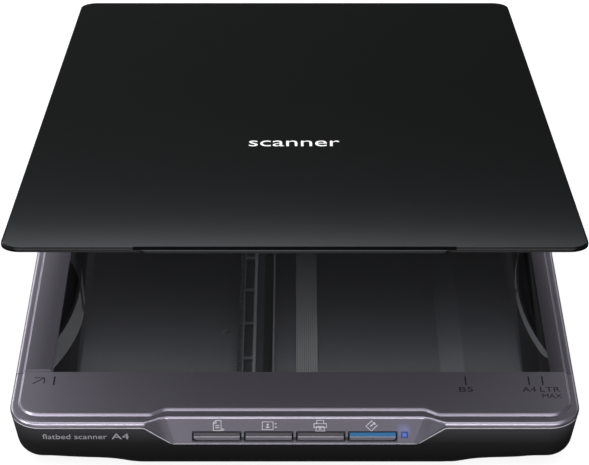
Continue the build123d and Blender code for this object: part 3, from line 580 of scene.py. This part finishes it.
# Ridged posts between the keys; the section is (up, out).
POST_HALF = 0.52
POST_SECTION = ((-1.9, 0.0), (1.9, 0.0), (1.7, 0.1), (0.35, 0.85), (0.05, 0.85), (-1.9, 0.1))
bm = bmesh.new()
for k in range(3):
    x = (k - 1) * BUTTON_PITCH
    ends = [[bm.verts.new(on_panel(x + dx, up, out)) for up, out in POST_SECTION]
            for dx in (-POST_HALF, POST_HALF)]
    bm.faces.new(ends[0])
    bm.faces.new(ends[1][::-1])
    for i in range(len(POST_SECTION)):
        j = (i + 1) % len(POST_SECTION)
        bm.faces.new((ends[0][i], ends[1][i], ends[1][j], ends[0][j]))
bmesh.ops.recalc_face_normals(bm, faces=bm.faces)
add_piece("key_posts", mesh_of(bm, "key_posts"), frame_grey)

# Small notch mark in the middle of the start key's lower edge.
mark_at = (Vector(BUTTON_ROW) + Vector((1.5 * BUTTON_PITCH, 0, 0)) - UP_PANEL * 1.1
           + OUT_PANEL * 0.36)
strokes("start_mark", [([(-0.35, 0.0), (0.35, 0.0)], False)], 0.3, 0.05,
        place(mark_at, X_AXIS, UP_PANEL), dark_ink, "start_key")

# Paper marks on the deck: dark ticks in their grooves, sizes, and the corner arrow.
TICK_HALF, TICK_DOWN = 0.34, (-0.3, -0.2)
bm = bmesh.new()
for width in PAPER_WIDTHS:
    x = ORIGIN_X + width
    corners = [((x + dx) * MM, y * MM, (DECK_Z + z) * MM) for z in TICK_DOWN
               for dx, y in ((-TICK_HALF, TICK_Y[0]), (TICK_HALF, TICK_Y[0]),
                             (TICK_HALF, TICK_Y[1]), (-TICK_HALF, TICK_Y[1]))]
    vs = [bm.verts.new(c) for c in corners]
    for ids in ((3, 2, 1, 0), (4, 5, 6, 7), (0, 1, 5, 4), (1, 2, 6, 5), (2, 3, 7, 6),
                (3, 0, 4, 7)):
        bm.faces.new([vs[i] for i in ids])
add_piece("paper_ticks", mesh_of(bm, "paper_ticks"), dark_ink)
for name, text, x, y, w, h in (("size_b5", "B5", 72.4, -161.9, 6.1, 3.4),
                               ("size_a4", "A4", 100.2, -161.9, 6.0, 3.4),
                               ("size_ltr", "LTR", 108.0, -161.9, 8.9, 3.4),
                               ("size_max", "MAX", 108.6, -166.1, 8.6, 2.9)):
    words(name, text, x, w, h, place((0, y, DECK_Z), X_AXIS, (0, 1, 0)), dark_ink)
ARROW = [([(-115.8, -156.3), (-111.2, -152.4)], False),
         ([(-115.4, -152.2), (-110.8, -152.2), (-110.8, -156.0)], False)]
strokes("corner_arrow", ARROW, 0.55, 0.06, place((0, 0, DECK_Z), X_AXIS, (0, 1, 0)), dark_ink)

# Plain words on the lid and on the housing's front.
LID_WORD_Y = -61.6                   # the word's lower edge, with the lid closed
closed = Vector((0.0, LID_WORD_Y - PIVOT_Y, LID_TOP - PIVOT_Z))
raised = Matrix.Rotation(-LID_OPEN, 3, "X") @ closed + Vector((0.0, PIVOT_Y, PIVOT_Z))
lid_place = place(raised, X_AXIS, (0, math.cos(LID_OPEN), -math.sin(LID_OPEN)))
lid_word = words("lid_word", "scanner", -21.4, 42.4, 7.6, lid_place, white_ink,
                 "lid")
wall_down, words_down = 5.9, 1.6     # below the parting line, then on down the sloping wall
wall_at = (0.0, WALL_FRONT + wall_down * math.tan(DRAFT), PARTING_Z - wall_down)
wall = (place(wall_at, X_AXIS, (0, -math.sin(DRAFT), math.cos(DRAFT)))
        @ Matrix.Translation((0, -words_down * MM, 0)))
words("front_word", "flatbed scanner", -109.6, 28.0, 3.3, wall, grey_ink)
words("front_size", "A4", -79.6, 7.6, 3.7, wall, grey_ink)


def on_wall(x, z, lift):
    """The point x mm along the front wall and on around its corners, at height z."""
    inset = (PARTING_Z - z) * math.tan(DRAFT) - lift + 0.02
    turn = max(abs(x) - STRAIGHT_X, 0.0) / CORNER
    reach = min(abs(x), STRAIGHT_X) + (CORNER - inset) * math.sin(turn)
    return Vector((math.copysign(reach, x),
                   WALL_FRONT + CORNER - (CORNER - inset) * math.cos(turn), z)) * MM


def bead_mesh(points, width, proud):
    """A fine rounded bead along the wall; points are (x along the wall, z) in mm."""
    bm = bmesh.new()
    rows = []
    for i, (x, z) in enumerate(points):
        xa, za = points[max(i - 1, 0)]
        xb, zb = points[min(i + 1, len(points) - 1)]
        across = Vector((-(zb - za), xb - xa)).normalized()
        row = []
        for k in range(7):
            t = math.pi * k / 6
            side, lift = -math.cos(t) * width / 2, math.sin(t) * proud
            px, pz = x + across.x * side, z + across.y * side
            row.append(bm.verts.new(on_wall(px, pz, lift)))
        rows.append(row)
    for a, b in zip(rows, rows[1:]):
        for k in range(7):
            j = (k + 1) % 7
            bm.faces.new((a[k], a[j], b[j], b[k]))
    for row in (rows[0], rows[-1]):
        bm.faces.new(row)
    bmesh.ops.recalc_face_normals(bm, faces=bm.faces)
    mesh = mesh_of(bm, "parting_bead")
    mesh.shade_smooth()
    return mesh


# The lower housing's rim shows as a fine bead, made pale as a painted highlight: from each corner
# along the front, then down beside the panel and under it.
BEAD_Z, BEAD_WIDTH, BEAD_PROUD = 26.75, 0.62, 0.14
half = ([(STRAIGHT_X + k, BEAD_Z) for k in range(14, -1, -1)]
        + [(66.4, BEAD_Z), (64.9, 26.4), (54.9, 17.6), (53.8, 16.95), (52.6, 16.6)])
bead_path = [(-x, z) for x, z in half] + [(x, z) for x, z in reversed(half)]
add_piece("parting_bead", bead_mesh(bead_path, BEAD_WIDTH, BEAD_PROUD), bead_highlight)


def cable_mesh(path, across, thick):
    """A flat cable of round conductors: its top is gently ribbed, its underside flat. The path
    is (y, z) in mm, and across is the number of faces over the cable's width."""
    x0, x1 = RIBBON_X
    bm = bmesh.new()
    rows = []
    for i, (y, z) in enumerate(path):
        ya, za = path[max(i - 1, 0)]
        yb, zb = path[min(i + 1, len(path) - 1)]
        side = Vector((0.0, -(zb - za), yb - ya)).normalized()
        if side.z < 0:
            side = -side
        row = []
        for layer in (0, 1):
            for k in range(across + 1):
                x = x0 + (x1 - x0) * k / across
                lift = thick + 0.05 * math.cos(2 * math.pi * k / 4) if layer else 0.0
                point = Vector((x, y, z)) + side * lift
                row.append(bm.verts.new(point * MM))
        rows.append(row)
    n = across + 1
    for a, b in zip(rows, rows[1:]):
        for k in range(across):
            bm.faces.new((a[k], a[k + 1], b[k + 1], b[k]))
            bm.faces.new((a[n + k], b[n + k], b[n + k + 1], a[n + k + 1]))
        bm.faces.new((a[0], b[0], b[n], a[n]))
        bm.faces.new((a[across], a[n + across], b[n + across], b[across]))
    for row in (rows[0], rows[-1]):
        bm.faces.new(row[:n] + row[:n - 1:-1])
    bmesh.ops.recalc_face_normals(bm, faces=bm.faces)
    mesh = mesh_of(bm, "carriage_cable")
    mesh.shade_smooth()
    return mesh


# The rear half stays on the floor and the front half folds back over it as the carriage moves,
# so the front half lies a little higher.
FOLD_Y, FLOOR_Z, HIGHER, RISE_OVER = 7.0, 2.9, 0.25, 15.0
run = [138.0 - (138.0 + 143.0) * k / 40 for k in range(41)]
cable_path = ([(151.6, 8.85), (148.0, 8.8), (143.0, 5.9)]
              + [(y, FLOOR_Z + HIGHER * min(max((FOLD_Y - y) / RISE_OVER, 0.0), 1.0))
                 for y in run]
              + [(-146.0, 3.6), (-148.6, 5.2), (-149.4, 7.6), (-149.45, 12.9)])
cable = add_piece("carriage_cable", cable_mesh(cable_path, 40, 0.2), FINISH["ribbon_grey"],
                  None)
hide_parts("carriage_ribbon")
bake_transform(cable)

# A small cross-head screw on the floor, beside the rack.
bm = bmesh.new()
bmesh.ops.create_cone(bm, cap_ends=True, segments=24, radius1=1.5 * MM,
                      radius2=1.25 * MM, depth=0.8 * MM)
bmesh.ops.translate(bm, verts=bm.verts, vec=Vector((-32.8, -85.5, 3.3)) * MM)
bmesh.ops.bevel(bm, geom=[e for e in bm.edges if e.calc_length() < 0.5 * MM], offset=0.1 * MM,
                segments=2, affect="EDGES")
add_piece("floor_screw", mesh_of(bm, "floor_screw"), FINISH["steel"])


# ---- Floor, world and lights --------------------------------------------------------------
def area(name, at, towards, size, glow, colour=(1, 1, 1), only=(), shade=()):
    """A soft rectangular lamp; glow is its brightness whatever its size. Where only is given
    it lights those objects alone, and where shade is given those alone cast its shadows."""
    data = bpy.data.lights.new(name, "AREA")
    data.shape = "RECTANGLE"
    data.size, data.size_y = size
    data.energy = glow * math.pi * size[0] * size[1]
    data.color = colour
    lamp = bpy.data.objects.new(name, data)
    lamp.location = at
    aim = Vector(towards) - Vector(at)
    lamp.rotation_euler = aim.to_track_quat("-Z", "Y").to_euler()
    scene.collection.objects.link(lamp)
    lamp.visible_camera = False
    for role, objects in (("receiver", only), ("blocker", shade)):
        if objects:
            group = bpy.data.collections.new(name + "_" + role)
            for obj in objects:
                group.objects.link(obj)
            setattr(lamp.light_linking, role + "_collection", group)
    return lamp


VIOLET = (0.97, 0.94, 1.0)
SATIN = {frame_grey, rail_lit_and_shaded, crest_highlight, cheek_shade, bead_highlight, grey_ink, key_paint,
         key_top_painted_shade, key_blue, white_ink, dark_ink, FINISH["lens_blue"]}
meshes = [o for o in scene.objects if o.type == "MESH"]
satin = [o for o in meshes if set(o.data.materials) & SATIN]
covers = [nodes[n] for n in ("lid_cover", "lid_inner_panel")]
within = [o for o in meshes if o not in satin and o not in covers
          and o.get("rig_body") != "lid"]

# A soft box over everything, then cards that the satin paint, the lid and the keys reflect,
# then light on the lid's word, and small lamps for the tray under the glass and for the lid's
# white sheet.
area("overhead", (0.0, -0.60, 1.5), (0.0, -0.15, 0.0), (2.4, 0.9), 0.8, VIOLET)
area("front_strip", (0.0, -1.55, 0.84), (0.0, -0.18, 0.03), (2.6, 0.36), 3.2, VIOLET,
     satin + covers + [nodes["lower_housing"]])
area("low_card", (0.0, -1.3, -0.12), (0.0, -0.18, 0.02), (1.3, 0.42), 0.55, VIOLET,
     satin + covers)
area("rear_band", (0.0, 1.7, 0.62), (0.0, 0.0, 0.03), (5.5, 0.6), 1.3, VIOLET, satin)
area("left_card", (-1.4, -0.9, 0.7), (0.0, -0.1, 0.05), (0.8, 0.8), 3.5, VIOLET, satin)
area("rear_left", (-2.1, 1.6, 0.62), (0.0, 0.0, 0.03), (1.8, 0.6), 1.6, VIOLET, satin)
area("word_light", (0.0, -0.1, 1.0), (0.0, -0.06, 0.1), (1.0, 1.0), 3.0, only=[lid_word])
under = [nodes["mat_sheet"], nodes["mat_foam"]]
area("platen_light", (0.0, -0.20, 0.095), (0.0, -0.08, 0.0), (0.30, 0.03), 1.8,
     (0.98, 0.97, 1.0), within, within).visible_glossy = False
area("mat_light", (0.0, -0.17, 0.04), (0.0, -0.06, 0.10), (0.28, 0.02), 0.6,
     (0.98, 0.95, 1.0), under, under).visible_glossy = False

# The status light's faint blue glow on the panel.
glow = bpy.data.lights.new("status_glow", "POINT")
glow.energy, glow.color, glow.shadow_soft_size = 0.00026, (0.25, 0.35, 1.0), 0.003
glow_lamp = bpy.data.objects.new("status_glow", glow)
glow_lamp.location = (Vector(BUTTON_ROW) + Vector((LED_X, 0, 0)) + UP_PANEL * LED_UP
                      + OUT_PANEL * 4.5) * MM
scene.collection.objects.link(glow_lamp)
glow_lamp.visible_camera = False

# A pale floor that adds no light of its own to the object.
bm = bmesh.new()
bmesh.ops.create_grid(bm, x_segments=1, y_segments=1, size=12.0)
floor = bpy.data.objects.new("floor", mesh_of(bm, "floor"))
floor.location.z = -0.0002
scene.collection.objects.link(floor)
m = Maker("floor")
m.bsdf.inputs["Base Color"].default_value = (0.8, 0.8, 0.8, 1.0)
m.bsdf.inputs["Roughness"].default_value = 0.9
m.bsdf.inputs["Specular IOR Level"].default_value = 0.0
m.bsdf.inputs["Emission Color"].default_value = (1.0, 1.0, 1.0, 1.0)
m.bsdf.inputs["Emission Strength"].default_value = 0.9
floor.data.materials.append(m.mat)
floor.visible_diffuse = False
floor.visible_glossy = False
floor.visible_transmission = False
floor.visible_shadow = False

# The surroundings: white behind the object, and for light and reflections a dim grey room with
# a bright band low down all round, fainter towards the right.
world = bpy.data.worlds.new("world")
scene.world = world
world.use_nodes = True
wt = world.node_tree
wt.nodes.clear()
w_out = wt.nodes.new("ShaderNodeOutputWorld")
w_mix = wt.nodes.new("ShaderNodeMixShader")
w_path = wt.nodes.new("ShaderNodeLightPath")
w_white = wt.nodes.new("ShaderNodeBackground")
w_white.inputs["Color"].default_value = (1.0, 1.0, 1.0, 1.0)
w_white.inputs["Strength"].default_value = 1.2
w_soft = wt.nodes.new("ShaderNodeBackground")
w_ramp = wt.nodes.new("ShaderNodeValToRGB")
w_coord = wt.nodes.new("ShaderNodeTexCoord")
w_sep = wt.nodes.new("ShaderNodeSeparateXYZ")
wt.links.new(w_coord.outputs["Generated"], w_sep.inputs["Vector"])
wt.links.new(w_sep.outputs["Z"], w_ramp.inputs["Fac"])
# SKY: (sine of the height above the horizon, brightness) pairs.
SKY = ((0.0, 0.045), (0.068, 0.047), (0.115, 0.051), (0.146, 0.064), (0.162, 0.076),
       (0.170, 0.086), (0.176, 0.112), (0.180, 0.23), (0.184, 0.48), (0.20, 1.25), (0.25, 0.4),
       (0.32, 0.1), (0.86, 0.08), (0.95, 0.25), (1.0, 0.3))
elements = w_ramp.color_ramp.elements
while len(elements) < len(SKY):
    elements.new(0.5)
for element, (height, value) in zip(elements, SKY):
    element.position = height
    blue = 1.12 if 0.16 < height < 0.3 else 1.04
    element.color = (value, value * (0.5 + blue / 2), value * blue, 1.0)
wt.links.new(w_ramp.outputs["Color"], w_soft.inputs["Color"])
w_side = wt.nodes.new("ShaderNodeMapRange")      # from x = -0.4 on the left to 0.4
for socket, value in (("From Min", -0.4), ("From Max", 0.4), ("To Min", 1.6), ("To Max", 0.4)):
    w_side.inputs[socket].default_value = value
wt.links.new(w_sep.outputs["X"], w_side.inputs["Value"])
wt.links.new(w_side.outputs["Result"], w_soft.inputs["Strength"])
wt.links.new(w_path.outputs["Is Camera Ray"], w_mix.inputs["Fac"])
wt.links.new(w_soft.outputs["Background"], w_mix.inputs[1])
wt.links.new(w_white.outputs["Background"], w_mix.inputs[2])
wt.links.new(w_mix.outputs["Shader"], w_out.inputs["Surface"])
